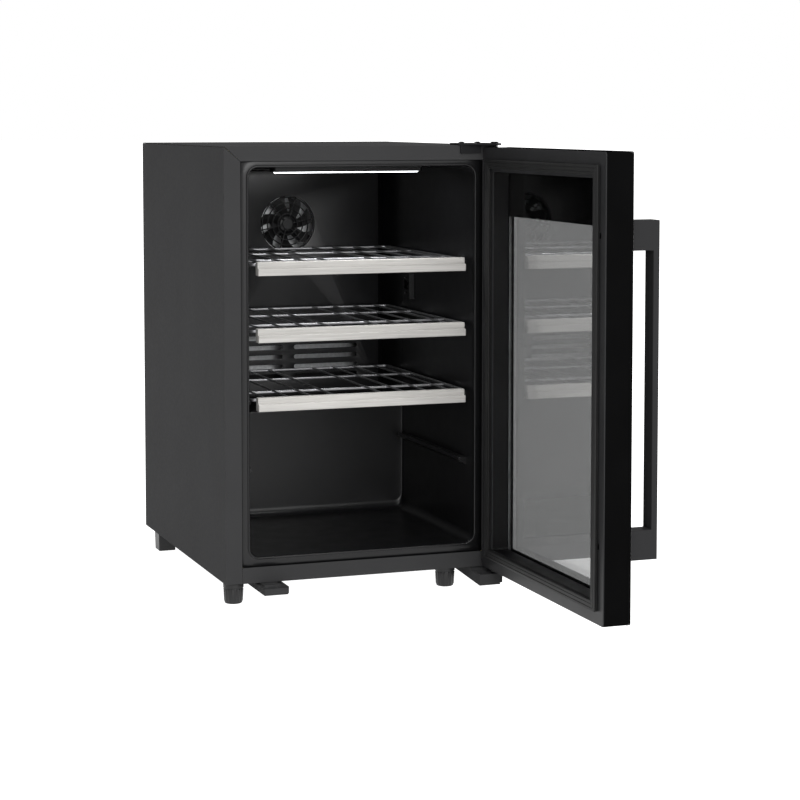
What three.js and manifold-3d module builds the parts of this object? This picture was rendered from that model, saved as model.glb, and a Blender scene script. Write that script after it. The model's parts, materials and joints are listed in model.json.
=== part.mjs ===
// A freestanding compressor wine cooler with its glass door standing open.
// Millimetres, +Z up, the front faces -Y, and the hinges are on the +X side.
// The parts are laid out in the cabinet's own frame: X = 0 is the middle of the
// cabinet, Y = 0 is its front plane and Z = 0 is the floor. The whole assembly
// is moved at the end, so that the origin is the bottom centre of its box.
import * as THREE from "three";
import { mergeVertices } from "three/addons/utils/BufferGeometryUtils.js";
import ManifoldModule from "manifold-3d";

const wasm = await ManifoldModule();
wasm.setup();

// ---------------------------------------------------------------- dimensions

const GAP = 0.3; // clearance between pieces that touch
const SHEET = 1.2; // thickness of the steel sheets

// cabinet
const WIDTH = 430;
const DEPTH = 508;
const HEIGHT = 674;
const FOOT_HEIGHT = 30;
const SIDE_STRIP = 25; // width of the front flange of a side panel
const TOP_STRIP = 22;
const BOTTOM_STRIP = 23.6;
const HALF = WIDTH / 2;

// mouth of the liner, and what lies behind it
const MOUTH_HALF = 177.5;
const MOUTH_BOTTOM = 68;
const MOUTH_TOP = 643;
const MOUTH_RADIUS = 15;
const LINER_WALL = 1.5;
const LINER_DEPTH = 430;
const STEP_DEPTH = 322; // depth of the floor, in front of the compressor bay
const STEP_TOP = 240;
const BACK_PANEL_Y = 480;
const BAY_FRONT = 352;
const BAY_TOP = 212;

// shelves
const RAIL_BOTTOMS = [484.2, 385.6, 283.8];
const SPARE_LEDGE = 182; // height of the fourth, empty pair of ledges
const RAIL_HEIGHT = 20;
const RAIL_HALF = 163;
const RAIL_FRONT = 0;
const RAIL_DEPTH = 16;
const RUNNER_HALF = 170; // from the middle to a runner of the wire rack
const RUNNER_RADIUS = 2.5;
const WIRE_RADIUS = 1.7;
const WIRE_RISE = 15.5; // height of the runner's centre above the rail's bottom
const RACK_FRONT = RAIL_FRONT + RAIL_DEPTH + 1;
const RACK_BACK = 378;

// door, drawn closed and then turned open about the hinge pins
const DOOR_BOTTOM = 31;
const DOOR_TOP = 671;
const DOOR_INNER_Y = -8; // its inner face when it is closed
const DOOR_THICKNESS = 41;
const DOOR_OUTER_Y = DOOR_INNER_Y - DOOR_THICKNESS;
const GLASS = 4;
const WINDOW_TOP = 568; // top of the clear window, below the opaque band of the display
const RECESS_HALF = 177; // opening in the inner face of the door frame
const RECESS_BOTTOM = 63;
const RECESS_TOP = 635;
const RECESS_DEPTH = 25;
const PANE_MARGIN = 14; // how far the inner pane reaches under the frame
const HINGE_X = 201;
const HINGE_Y = -20;
const DOOR_OPEN = Math.PI / 2;

// handle
const HANDLE_BOTTOM = 118;
const HANDLE_TOP = 579;
const HANDLE_INSET = 6; // from the free edge of the door
const HANDLE_WIDTH = 26;
const HANDLE_REACH = 42;
const HANDLE_LEG = 41;
const HANDLE_BAR = 9;

// circulation fan, in the rear wall of the upper compartment
const FAN_Z = 540;
const FAN_Y = 396;
const FAN_RADIUS = 43;

// drain, from the top of the step down into the compressor bay
const DRAIN = { x: 0, y: 412, hole: 4, clearance: 6 };

// compressor
const POT = { x: 40, y: 430, bottom: 47, radius: 60, height: 142 };

// ----------------------------------------------------------------- materials

function material(color, roughness, metalness, extra = {}) {
  return new THREE.MeshStandardMaterial({ color, roughness, metalness, ...extra });
}

const painted = material(0x3c3d3f, 0.55, 0.3);
const blackSteel = material(0x1d1e20, 0.45, 0.5);
const galvanised = material(0x9a9da0, 0.45, 0.8);
const zinc = material(0xb4b6b8, 0.35, 0.9);
const linerPlastic = material(0x1c1d1f, 0.5, 0.0);
const blackPlastic = material(0x161719, 0.5, 0.0);
const whitePlastic = material(0xd9d9d6, 0.6, 0.0);
const foam = material(0xd8c98f, 0.95, 0.0);
const rubber = material(0x121212, 0.85, 0.0);
const glass = material(0x9aa0a2, 0.05, 0.0, { transparent: true, opacity: 0.3 });
const aluminium = material(0xa9abad, 0.4, 0.9);
const copper = material(0xb56b45, 0.35, 0.9);
const paleWood = material(0xd8d2c8, 0.6, 0.0);
const wire = material(0x8c8f92, 0.3, 0.9);
const handlePaint = material(0x3a3b3d, 0.4, 0.6);
const diffuser = material(0xf4f6f7, 0.4, 0.0);

// ------------------------------------------------------------- solid helpers

function toManifold(geometry) {
  const bare = geometry.clone();
  for (const name of Object.keys(bare.attributes)) {
    if (name !== "position") bare.deleteAttribute(name);
  }
  const merged = mergeVertices(bare, 1e-4);
  const mesh = new wasm.Mesh({
    numProp: 3,
    vertProperties: new Float32Array(merged.attributes.position.array),
    triVerts: new Uint32Array(merged.index.array),
  });
  return new wasm.Manifold(mesh);
}

function toGeometry(solid) {
  const mesh = solid.getMesh();
  const geometry = new THREE.BufferGeometry();
  geometry.setAttribute("position", new THREE.BufferAttribute(mesh.vertProperties, 3));
  geometry.setIndex(new THREE.BufferAttribute(mesh.triVerts, 1));
  geometry.computeVertexNormals();
  return geometry;
}

function join(first, ...others) {
  return toGeometry(others.reduce((sum, g) => sum.add(toManifold(g)), toManifold(first)));
}

function cut(first, ...others) {
  return toGeometry(others.reduce((sum, g) => sum.subtract(toManifold(g)), toManifold(first)));
}

// a box from its lowest to its highest corner
function box(low, high) {
  const size = high.map((value, i) => value - low[i]);
  const middle = high.map((value, i) => (value + low[i]) / 2);
  return new THREE.BoxGeometry(...size).translate(...middle);
}

// a cylinder from one point along an axis
function rod(axis, start, length, radius, sides = 20) {
  const g = new THREE.CylinderGeometry(radius, radius, length, sides);
  g.translate(0, length / 2, 0);
  if (axis === "x") g.rotateZ(-Math.PI / 2);
  if (axis === "z") g.rotateX(Math.PI / 2);
  return g.translate(...start);
}

// a solid of revolution about a vertical axis, from its radius and height points
function turned(profile, sides, x, y) {
  const points = profile.map(([radius, z]) => new THREE.Vector2(radius, z));
  return new THREE.LatheGeometry(points, sides).rotateX(Math.PI / 2).translate(x, y, 0);
}

// an outline in a plane, given a thickness along the axis that is normal to it
function slab(shape, axis, from, to, curveSegments = 6) {
  const g = new THREE.ExtrudeGeometry(shape, {
    depth: to - from,
    bevelEnabled: false,
    curveSegments,
  });
  if (axis === "z") return g.translate(0, 0, from);
  if (axis === "y") return g.rotateX(Math.PI / 2).translate(0, to, 0); // outline in X, Z
  return g.rotateY(Math.PI / 2).rotateX(Math.PI / 2).translate(from, 0, 0); // in Y, Z
}

function outline(points) {
  return new THREE.Shape(points.map(([u, v]) => new THREE.Vector2(u, v)));
}

function roundedRect(left, bottom, right, top, radius, shape = new THREE.Shape()) {
  shape.moveTo(left + radius, bottom);
  shape.lineTo(right - radius, bottom);
  shape.absarc(right - radius, bottom + radius, radius, -Math.PI / 2, 0, false);
  shape.lineTo(right, top - radius);
  shape.absarc(right - radius, top - radius, radius, 0, Math.PI / 2, false);
  shape.lineTo(left + radius, top);
  shape.absarc(left + radius, top - radius, radius, Math.PI / 2, Math.PI, false);
  shape.lineTo(left, bottom + radius);
  shape.absarc(left + radius, bottom + radius, radius, Math.PI, Math.PI * 1.5, false);
  return shape;
}

// the same piece for the other side of the cabinet
function mirrorX(geometry) {
  const flipped = geometry.index ? geometry.toNonIndexed() : geometry.clone();
  const at = flipped.attributes.position.array;
  for (let i = 0; i < at.length; i += 9) {
    for (let k = 0; k < 9; k += 3) at[i + k] = -at[i + k];
    for (let k = 3; k < 6; k++) [at[i + k], at[i + k + 3]] = [at[i + k + 3], at[i + k]];
  }
  return new THREE.BufferGeometry().setAttribute("position", new THREE.BufferAttribute(at, 3));
}

// a rectangular ring in X, Z between an outer and an inner rectangle
function ring(outer, inner, from, to, outerRadius = 2, innerRadius = 2) {
  const shape = roundedRect(...outer, outerRadius);
  shape.holes.push(roundedRect(...inner, innerRadius, new THREE.Path()));
  return slab(shape, "y", from, to, 2);
}

function grow(rect, by) {
  return [rect[0] - by, rect[1] - by, rect[2] + by, rect[3] + by];
}

// a tube through a list of points, with rounded corners
function tube(points, radius, bend, sides = 8) {
  const path = new THREE.CurvePath();
  const at = points.map((p) => new THREE.Vector3(...p));
  let last = at[0];
  for (let i = 1; i < at.length - 1; i++) {
    const back = at[i - 1].clone().sub(at[i]).setLength(bend).add(at[i]);
    const ahead = at[i + 1].clone().sub(at[i]).setLength(bend).add(at[i]);
    path.add(new THREE.LineCurve3(last, back));
    path.add(new THREE.QuadraticBezierCurve3(back, at[i], ahead));
    last = ahead;
  }
  path.add(new THREE.LineCurve3(last, at[at.length - 1]));
  const samples = [];
  for (const piece of path.curves) {
    const count = piece.isLineCurve3 ? 1 : 4;
    for (let k = 0; k < count; k++) samples.push(piece.getPoint(k / count));
  }
  samples.push(at[at.length - 1]);
  return sweep(samples, radius, sides);
}

// a closed tube with a flat-sided section through each of the sample points
function sweep(samples, radius, sides) {
  const section = new THREE.Shape();
  for (let i = 0; i < sides; i++) {
    const a = ((i + 0.5) / sides) * Math.PI * 2;
    if (i === 0) section.moveTo(radius * Math.cos(a), radius * Math.sin(a));
    else section.lineTo(radius * Math.cos(a), radius * Math.sin(a));
  }
  section.closePath();
  return new THREE.ExtrudeGeometry(section, {
    steps: samples.length - 1,
    extrudePath: new SampledCurve(samples, false, "centripetal"),
    bevelEnabled: false,
  });
}

// a curve whose equal steps fall on its own sample points
class SampledCurve extends THREE.CatmullRomCurve3 {
  getPointAt(u, target) {
    return this.getPoint(u, target);
  }
  getTangentAt(u, target) {
    return this.getTangent(u, target);
  }
}

// --------------------------------------------------------------- scene graph

const cooler = new THREE.Group();
const cabinet = new THREE.Group();
const doorHinge = new THREE.Group();
const door = new THREE.Group();
cooler.add(cabinet, doorHinge);
doorHinge.position.set(HINGE_X, HINGE_Y, 0);
doorHinge.rotation.z = DOOR_OPEN;
door.position.set(-HINGE_X, -HINGE_Y, 0);
doorHinge.add(door);

function add(parent, name, geometry, look) {
  const mesh = new THREE.Mesh(geometry, look);
  mesh.name = name;
  parent.add(mesh);
  return mesh;
}

// ---------------------------------------------------------------------- case

function sidePanel(side) {
  const strip = HALF - SIDE_STRIP;
  const topOfStrip = HEIGHT - TOP_STRIP - GAP;
  const top = HEIGHT - SHEET - GAP;
  const flange = outline([
    [HALF, FOOT_HEIGHT],
    [HALF, top],
    [HALF - SHEET, top],
    [strip, topOfStrip],
    [strip, FOOT_HEIGHT],
  ]);
  const panel = join(
    box([HALF - SHEET, 0, FOOT_HEIGHT], [HALF, DEPTH, top]),
    slab(flange, "y", 0, SHEET),
    box([HALF - 12, DEPTH - SHEET, FOOT_HEIGHT], [HALF, DEPTH, top]),
  );
  return side > 0 ? panel : mirrorX(panel);
}

function topPanel() {
  const strip = HALF - SIDE_STRIP;
  const under = HEIGHT - SHEET;
  const flange = outline([
    [-HALF + 2, under],
    [-strip, HEIGHT - TOP_STRIP],
    [strip, HEIGHT - TOP_STRIP],
    [HALF - 2, under],
    [HALF - 2, HEIGHT - GAP],
    [-HALF + 2, HEIGHT - GAP],
  ]);
  return join(box([-HALF, 0, under], [HALF, DEPTH, HEIGHT]), slab(flange, "y", 0, SHEET));
}

function basePan() {
  const half = HALF - SHEET - GAP;
  const strip = HALF - SIDE_STRIP - GAP;
  const low = FOOT_HEIGHT;
  return join(
    box([-half, SHEET + GAP, low], [half, DEPTH - SHEET - GAP, low + SHEET]),
    box([-strip, 0, low], [strip, SHEET, low + BOTTOM_STRIP]),
    box([-strip, 0, low], [strip, SHEET + 1, low + SHEET]),
  );
}

// the room that the liner takes, grown outwards by a wall
function compartment(by, front) {
  const outer = roundedRect(
    -MOUTH_HALF - by,
    MOUTH_BOTTOM - by,
    MOUTH_HALF + by,
    MOUTH_TOP + by,
    MOUTH_RADIUS + by,
  );
  const room = slab(outer, "y", front, LINER_DEPTH + by, 5);
  const step = box(
    [-MOUTH_HALF - 20, STEP_DEPTH + by, MOUTH_BOTTOM - 20],
    [MOUTH_HALF + 20, LINER_DEPTH + 20, STEP_TOP - by],
  );
  return cut(room, step);
}

function ledge(side, bottom) {
  const top = bottom + WIRE_RISE - RUNNER_RADIUS - GAP;
  const low = outline([
    [MOUTH_HALF + 0.5, top - 10],
    [MOUTH_HALF + 0.5, top],
    [MOUTH_HALF - 12.5, top],
    [MOUTH_HALF - 12.5, top - 4],
  ]);
  const back = bottom < STEP_TOP ? STEP_DEPTH - 12 : RACK_BACK - 6;
  const geometry = slab(low, "y", 34, back);
  return side > 0 ? geometry : mirrorX(geometry);
}

function innerLiner() {
  const half = HALF - SIDE_STRIP + 6;
  const flangeFront = SHEET + GAP;
  const flange = roundedRect(-half, FOOT_HEIGHT + 17, half, HEIGHT - TOP_STRIP + 6, 2);
  const bead = roundedRect(
    -MOUTH_HALF - 2,
    MOUTH_BOTTOM - 2,
    MOUTH_HALF + 2,
    MOUTH_TOP + 2,
    MOUTH_RADIUS + 2,
  );
  const shell = join(
    compartment(LINER_WALL, flangeFront + 0.1),
    slab(flange, "y", flangeFront, flangeFront + 1.6),
    slab(bead, "y", 0.2, flangeFront + 1, 5),
  );
  const hollow = cut(shell, compartment(0, -5));
  const ledges = [...RAIL_BOTTOMS, SPARE_LEDGE].flatMap((z) => [ledge(-1, z), ledge(1, z)]);
  return cut(
    join(hollow, ...ledges),
    rod("z", [DRAIN.x, DRAIN.y, STEP_TOP - 10], 30, DRAIN.hole, 12),
  );
}

function insulation() {
  const half = HALF - SHEET - GAP;
  const block = box(
    [-half, 4, FOOT_HEIGHT + SHEET + GAP],
    [half, BACK_PANEL_Y - GAP, HEIGHT - SHEET - GAP],
  );
  const bay = box(
    [-HALF, BAY_FRONT - GAP, 0],
    [HALF, BACK_PANEL_Y + 10, BAY_TOP + SHEET + GAP],
  );
  const drain = rod("z", [DRAIN.x, DRAIN.y, BAY_TOP - 10], 60, DRAIN.clearance, 12);
  return cut(block, compartment(LINER_WALL + GAP, -5), bay, drain);
}

function bayShroud() {
  const half = HALF - SHEET - GAP;
  const low = FOOT_HEIGHT + SHEET + GAP;
  const fold = outline([
    [BAY_FRONT, low],
    [BAY_FRONT + SHEET, low],
    [BAY_FRONT + SHEET, BAY_TOP],
    [BACK_PANEL_Y - GAP, BAY_TOP],
    [BACK_PANEL_Y - GAP, BAY_TOP + SHEET],
    [BAY_FRONT, BAY_TOP + SHEET],
  ]);
  const drain = rod("z", [DRAIN.x, DRAIN.y, BAY_TOP - 10], 30, DRAIN.clearance, 12);
  return cut(slab(fold, "x", -half, half), drain);
}

add(cabinet, "side_panel_left", sidePanel(-1), painted);
add(cabinet, "side_panel_right", sidePanel(1), painted);
add(cabinet, "top_panel", topPanel(), painted);
add(cabinet, "base_pan", basePan(), painted);
add(
  cabinet,
  "back_panel",
  box(
    [-HALF + SHEET + GAP, BACK_PANEL_Y, BAY_TOP],
    [HALF - SHEET - GAP, BACK_PANEL_Y + SHEET, HEIGHT - SHEET - GAP],
  ),
  galvanised,
);
add(cabinet, "insulation_foam", insulation(), foam);
add(cabinet, "inner_liner", innerLiner(), linerPlastic);
add(cabinet, "bay_shroud", bayShroud(), galvanised);

// ---------------------------------------------------------------------- feet

const FRONT_FEET = { front_left_foot: [-199.5, 16], front_right_foot: [138, 22] };

function screwFoot(x, y) {
  const top = FOOT_HEIGHT - GAP;
  const profile = [
    [0, 0],
    [12, 0],
    [13.2, 1],
    [13.6, 6],
    [14.8, 24],
    [15.2, top - 4],
    [15.2, top],
    [0, top],
  ];
  return turned(profile, 16, x, y);
}

for (const [name, [x, y]] of Object.entries(FRONT_FEET)) {
  add(cabinet, name, screwFoot(x, y), blackPlastic);
}

function blockFoot(side) {
  const top = FOOT_HEIGHT - GAP;
  const body = box([HALF - 31, 424, 0], [HALF - 2, 454, top]);
  const recess = box([HALF - 26, 423, 6], [HALF - 7, 432, 24]);
  const foot = cut(body, recess);
  return side > 0 ? foot : mirrorX(foot);
}

add(cabinet, "rear_left_foot", blockFoot(-1), blackPlastic);
add(cabinet, "rear_right_foot", blockFoot(1), blackPlastic);

// ------------------------------------------------------------ hinge hardware

const PIN_RADIUS = 3;
const BUSH_BORE = 3.25;
const BUSH_RADIUS = 5;
const BUSH_LENGTH = 14;
const TOP_PLATE_Z = HEIGHT + GAP;
const TOP_PLATE_THICKNESS = 3;
const SCREW_X = [164, 190];
const SCREW_Y = 22;
const PIN_HEAD_RADIUS = 6;
const PIN_HEAD = 2; // height of a pin's head

function topHingePlate() {
  const plan = new THREE.Shape();
  plan.moveTo(150, 34);
  plan.lineTo(150, -2);
  plan.lineTo(178, -10);
  plan.absarc(HINGE_X, HINGE_Y, 10, Math.PI * 1.15, Math.PI * 2.1, false);
  plan.lineTo(211, 8);
  plan.lineTo(206, 34);
  const plate = join(
    slab(plan, "z", TOP_PLATE_Z, TOP_PLATE_Z + TOP_PLATE_THICKNESS),
    box([153, -GAP - 2.6, HEIGHT - 12], [186, -GAP, TOP_PLATE_Z + 1]),
  );
  const holes = SCREW_X.map((x) => rod("z", [x, SCREW_Y, HEIGHT - 5], 20, 2.6, 12));
  const bore = rod("z", [HINGE_X, HINGE_Y, HEIGHT - 5], 20, PIN_RADIUS + GAP, 20);
  return cut(plate, ...holes, bore);
}

// a pin with its head at the top or at the bottom
function hingePin(tip, seat, headEnd) {
  const up = Math.sign(headEnd - seat);
  const profile = [
    [0, tip],
    [PIN_RADIUS - 0.6, tip],
    [PIN_RADIUS, tip + 0.8 * up],
    [PIN_RADIUS, seat],
    [PIN_HEAD_RADIUS, seat],
    [PIN_HEAD_RADIUS, headEnd - 0.8 * up],
    [PIN_HEAD_RADIUS - 1, headEnd],
    [0, headEnd],
  ];
  return turned(up > 0 ? profile : profile.reverse(), 24, HINGE_X, HINGE_Y);
}

function plateScrew(x) {
  const seat = TOP_PLATE_Z + TOP_PLATE_THICKNESS + GAP;
  const profile = [
    [0, HEIGHT + GAP],
    [2.2, HEIGHT + GAP],
    [2.2, seat],
    [4.6, seat],
    [4.6, seat + 0.6],
    [3.4, seat + 1.5],
    [0, seat + 1.7],
  ];
  return turned(profile, 16, x, SCREW_Y);
}

const LOWER_BRACKET = { left: 171.5, right: 205.2, front: -38, back: 76, bottom: 8.5, top: 25.2 };

function lowerHingeBracket() {
  const b = LOWER_BRACKET;
  const side = outline([
    [b.front, b.bottom],
    [b.back, b.bottom + 8],
    [b.back, FOOT_HEIGHT - GAP],
    [4, FOOT_HEIGHT - GAP],
    [-2, b.top],
    [b.front, b.top],
  ]);
  const body = join(
    slab(side, "x", b.left, b.right),
    box([b.right - 1, b.front + 3, b.bottom + 2], [b.right + 4.8, b.front + 33, b.top - 3]),
  );
  const bore = rod("z", [HINGE_X, HINGE_Y, b.bottom - 5], 40, PIN_RADIUS + GAP, 20);
  const headRoom = 5 + PIN_HEAD + 2 * GAP;
  const head = rod("z", [HINGE_X, HINGE_Y, b.bottom - 5], headRoom, PIN_HEAD_RADIUS + GAP, 20);
  return cut(body, bore, head);
}

const LEFT_BRACKET = { left: -166, right: -126, front: -33, back: 60, bottom: 17, top: 27 };

function frontLeftBracket() {
  const b = LEFT_BRACKET;
  const plan = outline([
    [b.left, b.front],
    [b.right - 4, b.front],
    [b.right, b.front + 8],
    [b.right, b.back],
    [b.left, b.back],
  ]);
  return join(
    slab(plan, "z", b.bottom, b.top),
    box([b.left + 4, -20, b.top - 1], [b.right - 11, b.back - 4, FOOT_HEIGHT - GAP]),
  );
}

const topPinHead = TOP_PLATE_Z + TOP_PLATE_THICKNESS + GAP;
add(cabinet, "top_hinge_plate", topHingePlate(), blackSteel);
add(
  cabinet,
  "top_hinge_pin",
  hingePin(DOOR_TOP - BUSH_LENGTH + 2, topPinHead, topPinHead + PIN_HEAD),
  blackSteel,
);
SCREW_X.forEach((x, i) => {
  add(cabinet, `top_hinge_screw_${i + 1}`, plateScrew(x), blackSteel);
});
add(cabinet, "lower_hinge_bracket", lowerHingeBracket(), painted);
add(
  cabinet,
  "lower_hinge_pin",
  hingePin(DOOR_BOTTOM + BUSH_LENGTH - 2, LOWER_BRACKET.bottom + PIN_HEAD, LOWER_BRACKET.bottom),
  zinc,
);
add(cabinet, "front_left_bracket", frontLeftBracket(), painted);

// ---------------------------------------------------------------------- door

const doorOuter = [-HALF, DOOR_BOTTOM, HALF, DOOR_TOP];
const recess = [-RECESS_HALF, RECESS_BOTTOM, RECESS_HALF, RECESS_TOP];
const frontGlassBack = DOOR_OUTER_Y + GLASS;
const frameFront = frontGlassBack + GAP;
const innerGlassBack = DOOR_INNER_Y - RECESS_DEPTH;
const innerGlassFront = innerGlassBack - GLASS;
const pane = grow(recess, PANE_MARGIN);
const HANDLE_X = -HALF + HANDLE_INSET + HANDLE_WIDTH / 2;
const SCREW_SEAT = -20; // where the heads of the handle screws bear on the door frame
const SCREW_HEIGHTS = {
  handle_screw_lower: HANDLE_BOTTOM + HANDLE_LEG / 2,
  handle_screw_upper: HANDLE_TOP - HANDLE_LEG / 2,
};

function frontGlass() {
  const sheet = slab(roundedRect(...doorOuter, 3), "y", DOOR_OUTER_Y, frontGlassBack, 4);
  return cut(sheet, ...handleBores(3.2, DOOR_OUTER_Y - 5, frontGlassBack + 5));
}

function handleBores(radius, from, to) {
  return Object.values(SCREW_HEIGHTS).map((z) =>
    rod("y", [HANDLE_X, from, z], to - from, radius, 12),
  );
}

function doorFrame() {
  const outer = roundedRect(...grow(doorOuter, -0.5), 4);
  const block = slab(outer, "y", frameFront, DOOR_INNER_Y, 3);
  const window = slab(roundedRect(...recess, 4), "y", -60, 5, 3);
  const seat = slab(roundedRect(...grow(pane, GAP), 3), "y", -60, innerGlassBack + GAP, 2);
  const pivots = [DOOR_BOTTOM - 5, DOOR_TOP - BUSH_LENGTH - GAP].map((z) =>
    rod("z", [HINGE_X, HINGE_Y, z], BUSH_LENGTH + 5 + GAP, BUSH_RADIUS + GAP, 24),
  );
  const shafts = handleBores(2.9, frameFront - 5, SCREW_SEAT + 5);
  const heads = handleBores(5.2, SCREW_SEAT, 0);
  return cut(block, window, seat, ...pivots, ...shafts, ...heads);
}

function bush(low) {
  const high = low + BUSH_LENGTH - GAP;
  const profile = [
    [BUSH_BORE, low],
    [BUSH_RADIUS, low],
    [BUSH_RADIUS, high],
    [BUSH_BORE, high],
    [BUSH_BORE, low],
  ];
  return turned(profile, 24, HINGE_X, HINGE_Y);
}

// the seal stands on the inner face of the door: a foot, a waist and a wider head
function gasket() {
  const face = DOOR_INNER_Y + GAP;
  const outer = grow(doorOuter, -18);
  return join(
    ring(outer, grow(outer, -14), face, face + 2.6, 3, 2),
    ring(grow(outer, -2.4), grow(outer, -11.6), face + 2.4, face + 4.4, 3, 2),
    ring(grow(outer, -1), grow(outer, -10), face + 4.2, -0.5, 3, 2),
  );
}

function handle() {
  const root = DOOR_OUTER_Y - GAP;
  const reach = root - HANDLE_REACH + GAP;
  const side = outline([
    [root, HANDLE_BOTTOM],
    [root, HANDLE_BOTTOM + HANDLE_LEG],
    [reach + HANDLE_BAR, HANDLE_BOTTOM + HANDLE_LEG],
    [reach + HANDLE_BAR, HANDLE_TOP - HANDLE_LEG],
    [root, HANDLE_TOP - HANDLE_LEG],
    [root, HANDLE_TOP],
    [reach, HANDLE_TOP],
    [reach, HANDLE_BOTTOM],
  ]);
  const body = slab(side, "x", HANDLE_X - HANDLE_WIDTH / 2, HANDLE_X + HANDLE_WIDTH / 2);
  return cut(body, ...handleBores(2.8, root - 14, root + 5));
}

function handleScrew(z) {
  const tip = DOOR_OUTER_Y - 11;
  return join(
    rod("y", [HANDLE_X, tip, z], SCREW_SEAT + 2 - tip, 2.5, 12),
    rod("y", [HANDLE_X, SCREW_SEAT + GAP, z], 3.2, 4.6, 16),
  );
}

function displayModule() {
  const low = [-58, frameFront + 0.4, WINDOW_TOP + 20];
  const high = [58, innerGlassFront - 1, WINDOW_TOP + 60];
  const window = box([-16, low[1] - 2, low[2] + 12], [16, low[1] + 1.4, low[2] + 28]);
  return cut(box(low, high), window);
}

add(door, "door_front_glass", frontGlass(), glass);
add(door, "door_frame", doorFrame(), blackPlastic);
add(
  door,
  "door_inner_glass",
  slab(roundedRect(...pane, 2), "y", innerGlassFront, innerGlassBack, 2),
  glass,
);
add(
  door,
  "glass_spacer",
  ring(
    [pane[0] + 1, pane[1] + 1, pane[2] - 1, WINDOW_TOP + 14],
    [pane[0] + 7, pane[1] + 7, pane[2] - 7, WINDOW_TOP + 6],
    frameFront,
    innerGlassFront - GAP,
  ),
  aluminium,
);
add(door, "door_gasket", gasket(), rubber);
add(door, "handle", handle(), handlePaint);
for (const [name, z] of Object.entries(SCREW_HEIGHTS)) add(door, name, handleScrew(z), zinc);
add(door, "display_module", displayModule(), blackPlastic);
add(door, "upper_hinge_bush", bush(DOOR_TOP - BUSH_LENGTH), whitePlastic);
add(door, "lower_hinge_bush", bush(DOOR_BOTTOM + GAP), whitePlastic);

// ------------------------------------------------------------------- shelves

function wireRack(bottom) {
  const z = bottom + WIRE_RISE;
  const length = RACK_BACK - RACK_FRONT;
  const wireZ = z + RUNNER_RADIUS - WIRE_RADIUS + 0.6;
  const runners = [-RUNNER_HALF, RUNNER_HALF].map((x) =>
    rod("y", [x, RACK_FRONT, z], length, RUNNER_RADIUS, 6),
  );
  const cross = [RACK_FRONT + 6, (RACK_FRONT + RACK_BACK) / 2, RACK_BACK - 6].map((y) =>
    rod("x", [-RUNNER_HALF, y, z - 0.4], 2 * RUNNER_HALF, 2.2, 6),
  );
  const wires = [-146, -110, -74, -38, 38, 74, 110, 146].map((x) =>
    rod("y", [x, RACK_FRONT + 3, wireZ], length - 6, WIRE_RADIUS, 6),
  );
  return join(...runners, ...cross, ...wires);
}

// a rail whose lower half stands forward as a finger lip
function woodRail(bottom) {
  const front = RAIL_FRONT;
  const back = RAIL_FRONT + RAIL_DEPTH;
  const top = bottom + RAIL_HEIGHT;
  const shape = outline([
    [front + 1, bottom],
    [back, bottom],
    [back, top],
    [front + 6, top],
    [front + 5, top - 1],
    [front + 5, bottom + 11.4],
    [front + 4.4, bottom + 10.8],
    [front + 1, bottom + 10.8],
    [front, bottom + 9.8],
    [front, bottom + 1],
  ]);
  return slab(shape, "x", -RAIL_HALF, RAIL_HALF);
}

RAIL_BOTTOMS.forEach((bottom, i) => {
  add(cabinet, `shelf_${i + 1}_rack`, wireRack(bottom), wire);
  add(cabinet, `shelf_${i + 1}_rail`, woodRail(bottom), paleWood);
});

// ------------------------------------------------------- air cover and light

const COVER = { half: 158, low: 262, high: 628, front: 386 };
const WALL = 2.4; // of the cover and its guard

function airCover() {
  const { half, low, high, front } = COVER;
  const back = LINER_DEPTH - GAP;
  const border = [-half, low, half, high];
  const body = slab(roundedRect(...border, 10), "y", front, back, 4);
  const room = slab(roundedRect(...grow(border, -WALL), 8), "y", front + WALL, back + 5, 4);
  const slots = [];
  for (let row = 0; row < 5; row++) {
    const z = low + 22 + row * 16;
    for (const x of [-120, 10]) slots.push(box([x, front - 5, z], [x + 110, front + 5, z + 7]));
  }
  const fanHole = rod("y", [0, front - 5, FAN_Z], 10, FAN_RADIUS + 3, 28);
  const guard = [14, 25, 36].map((r) => guardRing(r, front));
  const reach = FAN_RADIUS + 4;
  const spokes = [0, Math.PI / 3, (2 * Math.PI) / 3].map((a) =>
    box([-reach, 0, -1.2], [reach, WALL, 1.2]).rotateY(a).translate(0, front, FAN_Z),
  );
  return join(cut(body, room, ...slots, fanHole), ...guard, ...spokes);
}

function guardRing(radius, front) {
  const shape = new THREE.Shape().absarc(0, 0, radius + 1.1, 0, Math.PI * 2, false);
  shape.holes.push(new THREE.Path().absarc(0, 0, radius - 1.1, 0, Math.PI * 2, true));
  return slab(shape, "y", 0, WALL, 9).translate(0, front, FAN_Z);
}

function fanWheel() {
  const hub = rod("y", [0, FAN_Y - 5, FAN_Z], 9, 14, 24);
  const blades = [];
  const count = 7;
  for (let i = 0; i < count; i++) {
    const blade = box([11, -0.8, -11], [FAN_RADIUS, 0.8, 11]);
    blade.rotateX(0.45).rotateY((i / count) * Math.PI * 2).translate(0, FAN_Y - 0.5, FAN_Z);
    blades.push(blade);
  }
  const hubAndBlades = join(hub, ...blades);
  return cut(hubAndBlades, rod("y", [0, FAN_Y + 0.5, FAN_Z], 10, 2.3, 16));
}

function fanMotor() {
  const back = LINER_DEPTH - 12;
  const body = rod("y", [0, FAN_Y + 6, FAN_Z], back - FAN_Y - 6, 21, 24);
  const shaft = rod("y", [0, FAN_Y + 1.5, FAN_Z], 8, 2, 16);
  const turns = [0, 1, 2].map((i) => 0.5 + (i * 2 * Math.PI) / 3);
  const struts = turns.flatMap((a) =>
    [box([10, 0, -4], [62, 3, 4]), box([54, -20, -4], [62, 3, 4])].map((g) =>
      g.rotateY(a).translate(0, back - 6, FAN_Z),
    ),
  );
  return join(body, shaft, ...struts);
}

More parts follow.
